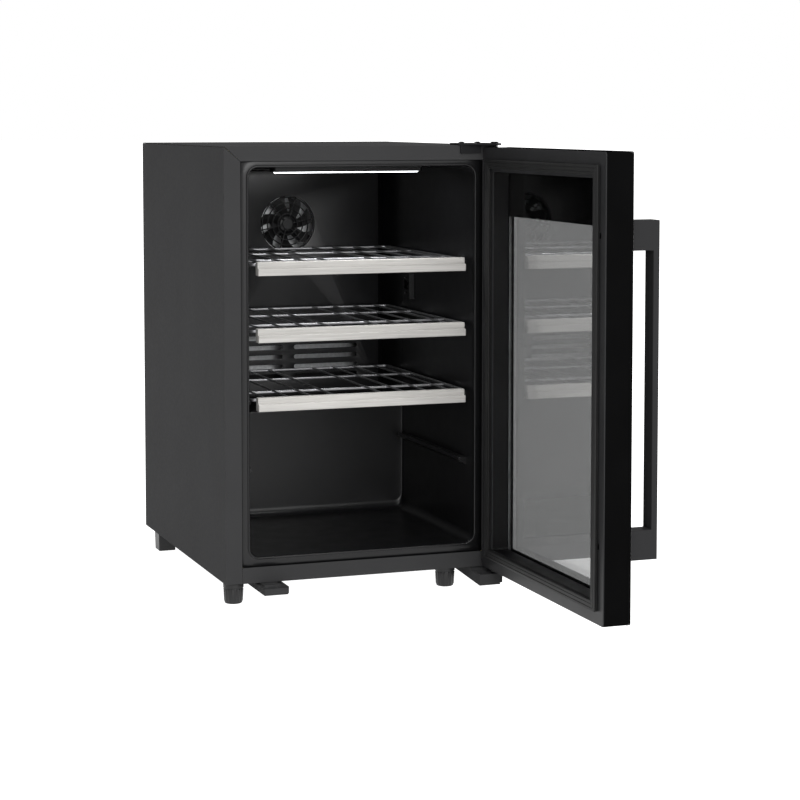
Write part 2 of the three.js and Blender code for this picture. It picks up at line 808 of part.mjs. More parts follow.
function evaporatorPlate() {
  const y = LINER_DEPTH - 8;
  const sheet = box([-138, y, 296], [138, y + 1.5, 608]);
  const channels = [];
  for (let i = 0; i < 7; i++) {
    const z = 316 + i * 44;
    channels.push(slab(roundedRect(-124, z - 3, 124, z + 3, 2.9), "y", y - 2, y + 1, 1));
  }
  return join(sheet, ...channels);
}

function lampHousing() {
  return cut(
    slab(roundedRect(-118, 68, 118, 94, 4), "z", MOUTH_TOP - 9, MOUTH_TOP - GAP, 3),
    box([-114, 71, MOUTH_TOP - 12], [114, 91, MOUTH_TOP - 5]),
  );
}

function lampDiffuser() {
  const section = new THREE.Shape();
  section.moveTo(71.4, MOUTH_TOP - 5.4);
  section.lineTo(71.4, MOUTH_TOP - 8);
  section.quadraticCurveTo(81, MOUTH_TOP - 13.5, 90.6, MOUTH_TOP - 8);
  section.lineTo(90.6, MOUTH_TOP - 5.4);
  return slab(section, "x", -113.6, 113.6, 6);
}

function sensorCover() {
  const body = box([MOUTH_HALF - 9, 262, 420], [MOUTH_HALF - GAP, 292, 462]);
  const slots = [428, 436, 444, 452].map((z) =>
    box([MOUTH_HALF - 12, 267, z], [MOUTH_HALF - 6.5, 287, z + 3]),
  );
  return cut(body, ...slots);
}

add(cabinet, "air_cover", airCover(), blackPlastic);
add(cabinet, "fan_motor", fanMotor(), blackPlastic);
add(cabinet, "circulation_fan", fanWheel(), blackPlastic);
add(cabinet, "evaporator_plate", evaporatorPlate(), aluminium);
add(cabinet, "lamp_housing", lampHousing(), blackPlastic);
add(cabinet, "lamp_diffuser", lampDiffuser(), diffuser);
add(cabinet, "sensor_cover", sensorCover(), blackPlastic);

// --------------------------------------------------------------- cooling set

const COMPRESSOR_PLATE = { bottom: 44, top: 48, halfX: 78, halfY: 56 };

function compressorPot() {
  const { x, y, bottom, radius, height } = POT;
  const seam = bottom + height * 0.52;
  const top = bottom + height;
  const profile = [
    [0, bottom],
    [radius * 0.62, bottom],
    [radius * 0.86, bottom + 8],
    [radius * 0.97, bottom + 22],
    [radius * 0.97, seam - 4],
    [radius + 3, seam - 4],
    [radius + 3, seam + 1],
    [radius * 0.97, seam + 1],
    [radius * 0.97, top - 34],
    [radius * 0.86, top - 14],
    [radius * 0.6, top - 3],
    [0, top],
  ];
  const pot = turned(profile, 30, x, y);
  const p = COMPRESSOR_PLATE;
  const plan = roundedRect(x - p.halfX, y - p.halfY, x + p.halfX, y + p.halfY, 10);
  return join(
    pot,
    slab(plan, "z", p.bottom, p.top, 4),
    rod("x", [x + radius - 8, y + 12, bottom + 96], 16, 4.2, 14),
  );
}

const mountPoints = [
  [-1, -1],
  [1, -1],
  [-1, 1],
  [1, 1],
].map(([i, j]) => [
  POT.x + i * (COMPRESSOR_PLATE.halfX - 11),
  POT.y + j * (COMPRESSOR_PLATE.halfY - 11),
]);

function rubberMount([x, y]) {
  const low = FOOT_HEIGHT + SHEET + GAP;
  const high = COMPRESSOR_PLATE.bottom - GAP;
  const profile = [
    [0, low],
    [9, low],
    [9, low + 3],
    [7, (low + high) / 2],
    [9, high - 3],
    [9, high],
    [0, high],
  ];
  return turned(profile, 16, x, y);
}

function relayBox() {
  const left = POT.x - POT.radius - 30;
  const shape = roundedRect(left, 408, left + 26, 452, 4);
  return slab(shape, "z", 84, 138, 3);
}

const COIL = { y: 494, radius: 2.4, half: 176, low: 262, pitch: 37, passes: 11, bend: 12 };
const DRIER = { x: -196, y: COIL.y, low: 120, high: 204, radius: 8, neck: 2.4 };

// serpentine on the back, from the compressor below and down again to the drier
function condenserCoil() {
  const { y, half, low, pitch, passes } = COIL;
  const startX = POT.x + POT.radius + 8.6;
  const points = [
    [startX, POT.y + 12, POT.bottom + 96],
    [half, POT.y + 12, POT.bottom + 96],
    [half, y, POT.bottom + 110],
    [half, y, low],
  ];
  let side = -1;
  for (let i = 0; i < passes; i++) {
    const z = low + i * pitch;
    points.push([side * half, y, z]);
    if (i < passes - 1) points.push([side * half, y, z + pitch]);
    side = -side;
  }
  points[points.length - 1][0] = DRIER.x;
  points.push([DRIER.x, y, DRIER.high + GAP]);
  return tube(points, COIL.radius, COIL.bend, 6);
}

function coilClamp(side) {
  const x = side * 120;
  return box([x - 8, BACK_PANEL_Y + SHEET + GAP, 246], [x + 8, COIL.y - COIL.radius - GAP, 650]);
}

function filterDrier() {
  const { x, y, low, high, radius, neck } = DRIER;
  const profile = [
    [0, low],
    [neck, low],
    [neck, low + 8],
    [radius, low + 16],
    [radius, high - 16],
    [neck, high - 8],
    [neck, high],
    [0, high],
  ];
  return turned(profile, 16, x, y);
}

// out of the drier, round a few turns, and up to the top of the bay
function capillaryTube() {
  const turns = 3;
  const perTurn = 12;
  const coil = 13;
  const pitch = 5;
  const drop = DRIER.low - 28;
  const centre = { x: DRIER.x + coil + 8, y: DRIER.y - coil - 6 };
  const at = (x, y, z) => new THREE.Vector3(x, y, z);
  const samples = [at(DRIER.x, DRIER.y, DRIER.low - GAP), at(DRIER.x, DRIER.y, DRIER.low - 12)];
  const start = Math.PI * 0.75;
  for (let i = 0; i <= turns * perTurn; i++) {
    const a = start + (i / perTurn) * Math.PI * 2;
    const z = drop - (i / perTurn) * pitch;
    samples.push(at(centre.x + coil * Math.cos(a), centre.y + coil * Math.sin(a), z));
  }
  const last = samples[samples.length - 1];
  const riser = { x: last.x + 4, y: last.y - 22 };
  samples.push(at(riser.x + 3, riser.y + 6, last.z + 2));
  samples.push(at(riser.x, riser.y, last.z + 14), at(riser.x, riser.y, BAY_TOP - 1));
  return sweep(samples, 1.1, 6);
}

function suctionPipe() {
  const x = POT.x - 20;
  return tube(
    [
      [x, POT.y - POT.radius * 0.97 - 6, POT.bottom + 70],
      [x, BAY_FRONT + SHEET + 6, POT.bottom + 70],
      [x, BAY_FRONT + SHEET + 6, BAY_TOP - 1],
    ],
    3.2,
    5,
    8,
  );
}

function dripTray() {
  const low = POT.bottom + POT.height + 1.5;
  const outer = slab(roundedRect(-44, 378, 100, 470, 8), "z", low, low + 13, 4);
  const inner = slab(roundedRect(-42, 380, 98, 468, 6), "z", low + 2, low + 20, 4);
  return cut(outer, inner);
}

function drainPipe() {
  const low = BAY_TOP - 6;
  const high = STEP_TOP - LINER_WALL - GAP;
  const profile = [
    [3.6, low],
    [5, low],
    [5, high],
    [3.6, high],
    [3.6, low],
  ];
  return turned(profile, 16, DRAIN.x, DRAIN.y);
}

function electronicsBox() {
  const low = FOOT_HEIGHT + SHEET + GAP;
  const lid = slab(roundedRect(-196, 366, -84, 440, 4), "z", low, low + 46, 3);
  const ribs = [380, 394, 408, 422].map((y) => box([-188, y, low + 45], [-92, y + 5, low + 48]));
  return join(lid, ...ribs);
}

function inletPlate() {
  const low = FOOT_HEIGHT + SHEET + GAP;
  const sheet = box([-178, 500, low], [-100, 501.2, low + 70]);
  return cut(sheet, box([-156, 490, low + 26], [-122, 510, low + 54]));
}

// a flush inlet with three blades at the bottom of its well
function powerInlet() {
  const low = FOOT_HEIGHT + SHEET + GAP + 26 + GAP;
  const left = -156 + GAP;
  const body = box([left, 474, low], [-122 - GAP, 504, low + 28 - 2 * GAP]);
  const well = box([left + 4, 480, low + 4], [-122 - GAP - 4, 510, low + 24 - 2 * GAP]);
  const blades = [
    [-139, 17],
    [-146, 10],
    [-132, 10],
  ].map(([x, z]) => box([x - 1, 476, low + z - 2], [x + 1, 495, low + z + 2]));
  return join(cut(body, well), ...blades);
}

add(cabinet, "compressor", compressorPot(), blackSteel);
mountPoints.forEach((point, i) =>
  add(cabinet, `rubber_mount_${i + 1}`, rubberMount(point), rubber),
);
add(cabinet, "relay_box", relayBox(), blackPlastic);
add(cabinet, "condenser_coil", condenserCoil(), blackSteel);
add(cabinet, "coil_clamp_left", coilClamp(-1), galvanised);
add(cabinet, "coil_clamp_right", coilClamp(1), galvanised);
add(cabinet, "filter_drier", filterDrier(), copper);
add(cabinet, "capillary_tube", capillaryTube(), copper);
add(cabinet, "suction_pipe", suctionPipe(), copper);
add(cabinet, "drip_tray", dripTray(), blackPlastic);
add(cabinet, "drain_pipe", drainPipe(), whitePlastic);
add(cabinet, "electronics_box", electronicsBox(), blackPlastic);
add(cabinet, "inlet_plate", inletPlate(), galvanised);
add(cabinet, "power_inlet", powerInlet(), blackPlastic);

// -------------------------------------------------------------------- origin

cooler.updateMatrixWorld(true);
const bounds = new THREE.Box3().setFromObject(cooler, true);
const middle = bounds.getCenter(new THREE.Vector3());
cooler.position.set(-middle.x, -middle.y, -bounds.min.z);

export default cooler;
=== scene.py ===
"""A black freestanding wine cooler, its glass door standing open, on a pale floor under soft studio light.

Lengths are given in millimetres in the cabinet's own frame (X = 0 at the middle of the cabinet, Y = 0 at its
front plane, Z = 0 on the floor) and turned into the row frame, in metres, by at() and door_at().
"""
import json
import math

import bmesh
import bpy
from mathutils import Euler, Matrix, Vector

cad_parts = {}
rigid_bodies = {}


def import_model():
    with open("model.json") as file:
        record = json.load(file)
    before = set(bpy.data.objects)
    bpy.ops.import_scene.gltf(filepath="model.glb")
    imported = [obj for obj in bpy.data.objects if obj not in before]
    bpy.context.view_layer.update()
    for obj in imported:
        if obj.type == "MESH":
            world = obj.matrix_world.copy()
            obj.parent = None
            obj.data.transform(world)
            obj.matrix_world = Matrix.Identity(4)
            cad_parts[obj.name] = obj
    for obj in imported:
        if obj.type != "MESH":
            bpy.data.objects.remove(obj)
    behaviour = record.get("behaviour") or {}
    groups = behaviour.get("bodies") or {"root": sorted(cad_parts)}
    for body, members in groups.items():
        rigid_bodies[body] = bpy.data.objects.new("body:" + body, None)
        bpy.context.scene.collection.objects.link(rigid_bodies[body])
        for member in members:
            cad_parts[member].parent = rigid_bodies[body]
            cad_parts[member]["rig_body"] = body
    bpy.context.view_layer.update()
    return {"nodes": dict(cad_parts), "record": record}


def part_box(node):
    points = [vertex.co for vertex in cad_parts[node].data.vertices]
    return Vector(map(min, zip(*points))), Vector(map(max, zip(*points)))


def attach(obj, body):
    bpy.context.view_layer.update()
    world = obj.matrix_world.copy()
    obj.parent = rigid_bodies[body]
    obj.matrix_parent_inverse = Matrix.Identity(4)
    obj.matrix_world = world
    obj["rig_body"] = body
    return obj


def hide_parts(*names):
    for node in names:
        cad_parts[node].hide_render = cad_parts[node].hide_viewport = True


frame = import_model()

MM = 0.001

# ------------------------------------------------------------------ dimensions

MIDDLE = (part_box("side_panel_left")[0].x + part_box("side_panel_right")[1].x) / 2
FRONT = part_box("side_panel_left")[0].y
HINGE_X, HINGE_Y = 201, -20
DOOR = (-215, 31, 215, 671)  # left, bottom, right, top
DOOR_INNER, DOOR_OUTER = -8, -49
GLASS = 4
RECESS = (-177, 63, 177, 635)  # opening of the door frame: left, bottom, right, top
WINDOW = (-177, 63, 177, 568)  # clear part of the glass
INNER_GLASS_BACK, PANE_MARGIN = -33, 12
RAIL_BOTTOMS = (484.2, 385.6, 283.8)
RAIL_BACK = 16
RUNNER_HALF, RACK_FRONT, RACK_BACK = 170, 17, 378
WIRE_RISE = 15.5


def at(x, y, z):
    return Vector((MIDDLE + x * MM, FRONT + y * MM, z * MM))


def grown(rect, margin):
    left, bottom, right, top = rect
    return (left - margin, bottom - margin, right + margin, top + margin)


def door_at(u, v, z):
    """A point given as it lies with the door closed, taken to the open door."""
    return at(HINGE_X - (v - HINGE_Y), HINGE_Y + (u - HINGE_X), z)


# ------------------------------------------------------------------- materials


class Look:
    """A Principled material whose colour, roughness and relief can follow procedural patterns."""

    def __init__(self, name, color, roughness, metallic=0.0, **constants):
        self.material = bpy.data.materials.new(name)
        self.material.use_nodes = True
        self.tree = self.material.node_tree
        self.shader = self.tree.nodes["Principled BSDF"]
        self.color = color
        self.roughness = roughness
        self.shader.inputs["Base Color"].default_value = (*color, 1.0)
        self.shader.inputs["Roughness"].default_value = roughness
        self.shader.inputs["Metallic"].default_value = metallic
        for socket, value in constants.items():
            self.shader.inputs[socket.replace("_", " ")].default_value = value
        self.place = self.node("ShaderNodeTexCoord").outputs["Object"]
        self.normal = None

    def node(self, kind, **settings):
        made = self.tree.nodes.new(kind)
        for key, value in settings.items():
            setattr(made, key, value)
        return made

    def link(self, source, target):
        self.tree.links.new(source, target)

    def stretched(self, stretch):
        if stretch == (1, 1, 1):
            return self.place
        mapping = self.node("ShaderNodeMapping")
        mapping.inputs["Scale"].default_value = stretch
        self.link(self.place, mapping.inputs["Vector"])
        return mapping.outputs["Vector"]

    def noise(self, scale, detail=3.0, stretch=(1, 1, 1), distortion=0.0):
        made = self.node("ShaderNodeTexNoise")
        made.inputs["Scale"].default_value = scale
        made.inputs["Detail"].default_value = detail
        made.inputs["Distortion"].default_value = distortion
        self.link(self.stretched(stretch), made.inputs["Vector"])
        return made.outputs["Fac"]

    def cells(self, scale, stretch=(1, 1, 1), feature="F1"):
        made = self.node("ShaderNodeTexVoronoi", feature=feature)
        made.inputs["Scale"].default_value = scale
        self.link(self.stretched(stretch), made.inputs["Vector"])
        return made.outputs["Color"]

    def spread(self, pattern, low, high, start=0.3, end=0.7):
        """Turns a pattern from 0 to 1 into a number between low and high."""
        made = self.node("ShaderNodeMapRange")
        for socket, value in (("From Min", start), ("From Max", end), ("To Min", low), ("To Max", high)):
            made.inputs[socket].default_value = value
        self.link(pattern, made.inputs["Value"])
        return made.outputs["Result"]

    def tint(self, pattern, dark, light, start=0.3, end=0.7):
        """Lets the base colour run between two shares of itself."""
        ramp = self.node("ShaderNodeValToRGB")
        low, high = ramp.color_ramp.elements
        low.position, high.position = start, end
        low.color = (*(c * dark for c in self.color), 1.0)
        high.color = (*(c * light for c in self.color), 1.0)
        self.link(pattern, ramp.inputs["Fac"])
        self.link(ramp.outputs["Color"], self.shader.inputs["Base Color"])
        return self

    def gloss(self, pattern, low, high, start=0.3, end=0.7):
        self.link(self.spread(pattern, low, high, start, end), self.shader.inputs["Roughness"])
        return self

    def relief(self, pattern, depth, strength=0.5):
        """Adds a bump, depth in millimetres."""
        bump = self.node("ShaderNodeBump")
        bump.inputs["Distance"].default_value = depth * MM
        bump.inputs["Strength"].default_value = strength
        self.link(pattern, bump.inputs["Height"])
        if self.normal:
            self.link(self.normal, bump.inputs["Normal"])
        self.normal = bump.outputs["Normal"]
        self.link(self.normal, self.shader.inputs["Normal"])
        return self


def powder_coat(name, color, roughness=0.5, texture=0.5):
    look = Look(name, color, roughness, Specular_IOR_Level=0.01)
    look.tint(look.noise(9, 4), 0.96, 1.04)
    look.gloss(look.noise(240, 2), roughness - 0.04, roughness + 0.05)
    return look.relief(look.noise(1400, 2), 0.08, texture)


def moulded(name, color, roughness=0.45, grain=0.4, specular=0.35):
    look = Look(name, color, roughness, Specular_IOR_Level=specular)
    look.tint(look.noise(14, 3), 0.9, 1.1)
    look.gloss(look.noise(40, 2), roughness - 0.02, roughness + 0.03)
    return look.relief(look.noise(1600, 2), 0.02, grain)


def plated(name, color, roughness, stretch=(1, 1, 1)):
    look = Look(name, color, roughness, 1.0)
    look.tint(look.noise(180, 4, stretch), 0.82, 1.08)
    look.gloss(look.noise(420, 3, stretch), roughness - 0.08, roughness + 0.12)
    return look.relief(look.noise(700, 2, stretch), 0.03, 0.3)


def galvanised_sheet():
    look = Look("galvanised", (0.40, 0.41, 0.42), 0.45, 0.9)
    look.tint(look.cells(85), 0.78, 1.12, 0.1, 0.9)
    look.gloss(look.cells(85), 0.36, 0.56, 0.1, 0.9)
    return look.relief(look.noise(260, 3), 0.05, 0.3)


def pale_wood():
    """Straight grain along X: broad bands, fine fibres and short pores."""
    look = Look("pale_wood", (0.52, 0.507, 0.485), 0.55, Specular_IOR_Level=0.3)
    bands = look.noise(60, 4, (0.06, 1, 1), 0.6)
    fibres = look.noise(900, 4, (0.02, 1, 1))
    mixed = look.node("ShaderNodeMix", data_type="FLOAT")
    mixed.inputs["Factor"].default_value = 0.45
    look.link(bands, mixed.inputs["A"])
    look.link(fibres, mixed.inputs["B"])
    look.tint(mixed.outputs["Result"], 0.74, 1.12, 0.34, 0.64)
    look.gloss(fibres, 0.48, 0.66)
    return look.relief(fibres, 0.12, 0.5)


def tinted_glass(name, color):
    look = Look(name, color, 0.0, IOR=1.5, Transmission_Weight=1.0)
    return look.tint(look.noise(3, 2), 0.985, 1.015)


def glowing(name, color, strength):
    look = Look(name, color, 0.4, Emission_Strength=strength, Emission_Color=(*color, 1.0))
    return look.relief(look.noise(500, 2), 0.05, 0.3)


def glass_ink(name, color):
    look = Look(name, color, 0.3, Specular_IOR_Level=0.0)
    look.gloss(look.noise(30, 3), 0.28, 0.34)
    return look.tint(look.noise(20, 3), 0.9, 1.1)


def rough_foam():
    look = Look("foam", (0.67, 0.57, 0.27), 0.9)
    look.tint(look.noise(120, 4), 0.8, 1.1)
    return look.relief(look.noise(300, 4), 0.8, 0.8)


LOOKS = {
    "case_paint": powder_coat("case_paint", (0.043, 0.043, 0.044), 0.55, 0.3),
    "black_steel": powder_coat("black_steel", (0.016, 0.016, 0.017), 0.38, 0.3),
    "galvanised": galvanised_sheet(),
    "zinc": plated("zinc", (0.55, 0.56, 0.57), 0.3),
    "liner_plastic": moulded("liner_plastic", (0.005, 0.005, 0.0055), 0.3, 0.15, 0.3),
    "black_plastic": moulded("black_plastic", (0.008, 0.008, 0.0085), 0.42),
    "door_plastic": moulded("door_plastic", (0.021, 0.021, 0.022), 0.36, 0.3, 0.15),
    "gloss_plastic": moulded("gloss_plastic", (0.0035, 0.0035, 0.0036), 0.3, 0.05, 0.0),
    # near black, for the walls of the door's recess: painted shade
    "painted_recess_shade": moulded("painted_recess_shade", (0.004, 0.004, 0.0042), 0.35, 0.1, 0.15),
    "white_plastic": moulded("white_plastic", (0.70, 0.70, 0.68), 0.5),
    "foam": rough_foam(),
    "rubber": moulded("rubber", (0.007, 0.007, 0.007), 0.55, 0.4, 0.3),
    "glass": tinted_glass("glass", (0.17, 0.171, 0.171)),
    "clear_glass": tinted_glass("clear_glass", (0.95, 0.955, 0.955)),
    "aluminium": plated("aluminium", (0.55, 0.56, 0.57), 0.38, (1, 0.1, 1)),
    "copper": plated("copper", (0.62, 0.26, 0.13), 0.32),
    "pale_wood": pale_wood(),
    "rack_wire": plated("rack_wire", (0.30, 0.30, 0.31), 0.42),
    "handle_coat": powder_coat("handle_coat", (0.029, 0.029, 0.030), 0.40, 0.2),
    "diffuser": glowing("diffuser", (0.93, 0.97, 1.0), 6.0),
    "glass_print": glass_ink("glass_print", (0.0015, 0.0015, 0.0015)),
}

# ---------------------------------------------------------------- mesh helpers

# looks that are finer than the record's slots
SLOT_OF = {entry["node"]: entry["material_slot"] for entry in frame["record"]["subparts"]}


def finished(name, bm, slot, body, replaces=(), bevel=0.0, segments=2, sharp=35):
    """Turns a bmesh into a piece that rides on a body, with rounded edges and a material."""
    bmesh.ops.recalc_face_normals(bm, faces=bm.faces)
    mesh = bpy.data.meshes.new(name)
    for face in bm.faces:
        face.smooth = True
    bm.to_mesh(mesh)
    bm.free()
    mesh.set_sharp_from_angle(angle=math.radians(sharp))
    mesh.materials.append(LOOKS[slot].material)
    piece = bpy.data.objects.new(name, mesh)
    bpy.context.scene.collection.objects.link(piece)
    if bevel:
        rounding = piece.modifiers.new("edges", "BEVEL")
        rounding.width = bevel * MM
        rounding.segments = segments
        rounding.limit_method = "ANGLE"
        rounding.angle_limit = math.radians(sharp)
        rounding.miter_outer = "MITER_ARC"
        weighted = piece.modifiers.new("normals", "WEIGHTED_NORMAL")
        weighted.keep_sharp = True
    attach(piece, body)
    if replaces:
        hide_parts(*replaces)
    return piece


def cleaned(node):
    """The shape of a CAD node with its flat faces whole again."""
    bm = bmesh.new()
    bm.from_mesh(frame["nodes"][node].data)
    bmesh.ops.remove_doubles(bm, verts=bm.verts, dist=0.005 * MM)
    bmesh.ops.dissolve_limit(bm, angle_limit=math.radians(0.6), verts=bm.verts, edges=bm.edges)
    return bm


def refine(node, bevel, segments=2, slot=None, sharp=35):
    body = frame["nodes"][node]["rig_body"]
    return finished(
        f"{node}_finish", cleaned(node), slot or SLOT_OF[node], body, [node], bevel, segments, sharp
    )


def rounded(points, radius, steps=6):
    """A path through the points with an arc of that radius at each corner."""
    path = [points[0]]
    for before, corner, after in zip(points, points[1:], points[2:]):
        one, two = (before - corner).normalized(), (after - corner).normalized()
        bend = math.pi - one.angle(two)
        if bend < 0.01:
            continue
        reach = radius * math.tan(bend / 2)
        centre = corner + (one + two).normalized() * (radius / math.cos(bend / 2))
        start = (corner + one * reach - centre).normalized()
        end = (corner + two * reach - centre).normalized()
        path += [centre + start.slerp(end, i / steps) * radius for i in range(steps + 1)]
    return [*path, points[-1]]


def sweep(bm, path, radius, sides=12, closed=False):
    """Adds a round bar along a path."""
    count = len(path)
    tangents = []
    for i in range(count):
        ahead = path[(i + 1) % count] if closed or i < count - 1 else path[i]
        behind = path[i - 1] if closed or i > 0 else path[i]
        tangents.append((ahead - behind).normalized())
    across = tangents[0].orthogonal().normalized()
    rings = []
    for point, tangent in zip(path, tangents):
        across = (across - tangent * across.dot(tangent)).normalized()
        up = tangent.cross(across)
        turns = [2 * math.pi * k / sides for k in range(sides)]
        rings.append(
            [bm.verts.new(point + (across * math.cos(a) + up * math.sin(a)) * radius) for a in turns]
        )
    pairs = list(zip(rings, rings[1:])) + ([(rings[-1], rings[0])] if closed else [])
    for one, two in pairs:
        for k in range(sides):
            bm.faces.new((one[k], one[(k + 1) % sides], two[(k + 1) % sides], two[k]))
    if not closed:
        bm.faces.new(rings[0][::-1])
        bm.faces.new(rings[-1])


def turned(bm, profile, centre, axis="z", sides=48, ripple=None):
    """Adds a solid of revolution. The profile is (radius, height) from the axis out and back to the axis."""
    rings = []
    for radius, height in profile:
        if radius == 0:
            rings.append([bm.verts.new(oriented(0, 0, height, axis) * MM + centre)])
            continue
        ring = []
        for k in range(sides):
            a = 2 * math.pi * k / sides
            r = radius + (ripple(a, height) if ripple else 0)
            ring.append(bm.verts.new(oriented(r * math.cos(a), r * math.sin(a), height, axis) * MM + centre))
        rings.append(ring)
    for one, two in zip(rings, rings[1:]):
        if len(one) == 1:
            for k in range(sides):
                bm.faces.new((one[0], two[k], two[(k + 1) % sides]))
        elif len(two) == 1:
            for k in range(sides):
                bm.faces.new((one[k], two[0], one[(k + 1) % sides]))
        else:
            for k in range(sides):
                bm.faces.new((one[k], two[k], two[(k + 1) % sides], one[(k + 1) % sides]))


def oriented(x, y, height, axis):
    return {"z": Vector((x, y, height)), "y": Vector((x, -height, y)), "-y": Vector((x, height, y))}[axis]


def mitred_ring(bm, place, rect, profile):
    """Adds a section swept round a rectangle. The section's points are (inset, height)."""
    left, bottom, right, top = rect
    corners = []
    for sx, sz in ((1, 1), (-1, 1), (-1, -1), (1, -1)):
        ring = []
        for inset, height in profile:
            x = left + inset if sx > 0 else right - inset
            z = bottom + inset if sz > 0 else top - inset
            ring.append(bm.verts.new(place(x, height, z)))
        corners.append(ring)
    count = len(profile)
    for i in range(4):
        one, two = corners[i], corners[(i + 1) % 4]
        for k in range(count):
            bm.faces.new((one[k], one[(k + 1) % count], two[(k + 1) % count], two[k]))


def extrusion(bm, place, outline, start, end):
    """Adds a prism of the outline's (a, b) points. place takes a point and the distance along it."""
    low = [bm.verts.new(place(a, b, start)) for a, b in outline]
    high = [bm.verts.new(place(a, b, end)) for a, b in outline]
    bm.faces.new(low[::-1])
    bm.faces.new(high)
    for k in range(len(outline)):
        following = (k + 1) % len(outline)
        bm.faces.new((low[k], low[following], high[following], high[k]))


def rounded_rect(left, bottom, right, top, radius, steps=6):
    points = []
    for cx, cz, start in (
        (right - radius, bottom + radius, -90),
        (right - radius, top - radius, 0),
        (left + radius, top - radius, 90),
        (left + radius, bottom + radius, 180),
    ):
        for i in range(steps + 1):
            a = math.radians(start + 90 * i / steps)
            points.append((cx + radius * math.cos(a), cz + radius * math.sin(a)))
    return points


def plate_with_window(bm, place, outer, window, low, high):
    """Adds a flat sheet with a hole. Both outlines have the same number of points."""
    sheets = []
    for height in (low, high):
        sheets.append([[bm.verts.new(place(x, height, z)) for x, z in ring] for ring in (outer, window)])
    count = len(outer)
    for k in range(count):
        n = (k + 1) % count
        for outside, inside in sheets:
            bm.faces.new((outside[k], outside[n], inside[n], inside[k]))
        for ring in (0, 1):
            bm.faces.new((sheets[0][ring][k], sheets[0][ring][n], sheets[1][ring][n], sheets[1][ring][k]))


def flat_plate(loops, thickness, bevel):
    """A plate with holes and rounded edges, lying in X, Y with its middle at Z = 0. Returns its bmesh."""
    curve = bpy.data.curves.new("plate", "CURVE")
    curve.dimensions, curve.fill_mode = "2D", "BOTH"
    curve.extrude, curve.bevel_depth, curve.bevel_resolution = (thickness / 2 - bevel) * MM, bevel * MM, 2
    curve.offset = -bevel * MM
    for loop in loops:
        spline = curve.splines.new("POLY")
        spline.points.add(len(loop) - 1)
        for point, (x, y) in zip(spline.points, loop):
            point.co = (x * MM, y * MM, 0, 1)
        spline.use_cyclic_u = True
    holder = bpy.data.objects.new("plate", curve)
    bpy.context.scene.collection.objects.link(holder)
    mesh = bpy.data.meshes.new_from_object(holder.evaluated_get(bpy.context.evaluated_depsgraph_get()))
    bm = bmesh.new()
    bm.from_mesh(mesh)
    bmesh.ops.remove_doubles(bm, verts=bm.verts, dist=0.01 * MM)
    bpy.data.objects.remove(holder)
    bpy.data.curves.remove(curve)
    bpy.data.meshes.remove(mesh)
    return bm


def circle(x, y, radius, steps=64):
    turns = [2 * math.pi * k / steps for k in range(steps)]
    return [(x + radius * math.cos(a), y + radius * math.sin(a)) for a in turns]


# ------------------------------------------------------------------------ case

for node in ("side_panel_left", "side_panel_right", "top_panel", "base_pan"):
    refine(node, 0.5, 3)
refine("back_panel", 0.3)
refine("bay_shroud", 0.4)

MOUTH_HALF, MOUTH_BOTTOM, MOUTH_TOP, MOUTH_RADIUS = 177.5, 68, 643, 15
LINER_DEPTH, STEP_DEPTH, STEP_TOP = 430, 322, 240
LINER_WALL = 1.2


def quarter(steps=6):
    return [math.radians(90 * i / steps) for i in range(steps + 1)]


def inner_liner():
    """One vacuum-formed skin: a flange, a rolled lip, the compartment with its step, and the back wall."""
    lip = [(18.5, 2.0), (3.4, 2.0), (3.0, 0.9), (2.4, 0.4), (1.6, 0.2), (0.8, 0.4), (0.2, 1.0), (0, 2.0)]
    stations = [(out, y, MOUTH_BOTTOM - out) for out, y in lip]
    floor_end, step_edge, back_end = 14, 3.5, 14
    stations += [(0, y, MOUTH_BOTTOM) for y in (12, 100, 200, STEP_DEPTH - floor_end - 4)]
    for a in quarter():
        y = STEP_DEPTH - floor_end * (1 - math.sin(a))
        stations.append((0, y, MOUTH_BOTTOM + floor_end * (1 - math.cos(a))))
    for a in quarter():
        y = STEP_DEPTH + step_edge * (1 - math.cos(a))
        stations.append((0, y, STEP_TOP - step_edge * (1 - math.sin(a))))
    for a in quarter():
        inset = back_end * (1 - math.cos(a))
        y = LINER_DEPTH - back_end * (1 - math.sin(a))
        stations.append((-inset, y, STEP_TOP + inset))
    bm = bmesh.new()
    rings = []
    for out, y, bottom in stations:
        radius = max(MOUTH_RADIUS + min(out, 4), 2)
        outline = rounded_rect(-MOUTH_HALF - out, bottom, MOUTH_HALF + out, MOUTH_TOP + out, radius, 10)
        rings.append([bm.verts.new(at(x, y, z)) for x, z in outline])
    for one, two in zip(rings, rings[1:]):
        for k in range(len(one)):
            following = (k + 1) % len(one)
            bm.faces.new((one[k], two[k], two[following], one[following]))
    bm.faces.new(rings[-1])
    piece = finished("inner_liner_finish", bm, "liner_plastic", "cabinet", ["inner_liner"])
    wall = piece.modifiers.new("wall", "SOLIDIFY")
    wall.thickness = LINER_WALL * MM
    inward = piece.data.polygons[-1].normal.y < 0
    wall.offset = -1 if inward else 1


def liner_ledges():
    """Moulded runners for the shelves, four on each wall."""
    bm = bmesh.new()
    for bottom in (*RAIL_BOTTOMS, 182):
        top = bottom + WIRE_RISE - 2.8
        back = STEP_DEPTH - 12 if bottom < STEP_TOP else RACK_BACK - 6
        for side in (-1, 1):
            section = [(179, top - 13), (179, top), (165, top), (165, top - 4), (168, top - 6)]
            extrusion(bm, lambda a, b, c, s=side: at(s * a, c, b), section, 34, back)
            lip = [(166.5, top - 1), (166.5, top + 1.6), (165, top + 1.6), (165, top - 1)]
            extrusion(bm, lambda a, b, c, s=side: at(s * a, c, b), lip, 40, back - 6)
    finished("liner_ledges", bm, "liner_plastic", "cabinet", (), 1.0, 3)


inner_liner()
liner_ledges()
frame["nodes"]["insulation_foam"].data.materials.clear()
frame["nodes"]["insulation_foam"].data.materials.append(LOOKS["foam"].material)

# ------------------------------------------------------------------------ feet


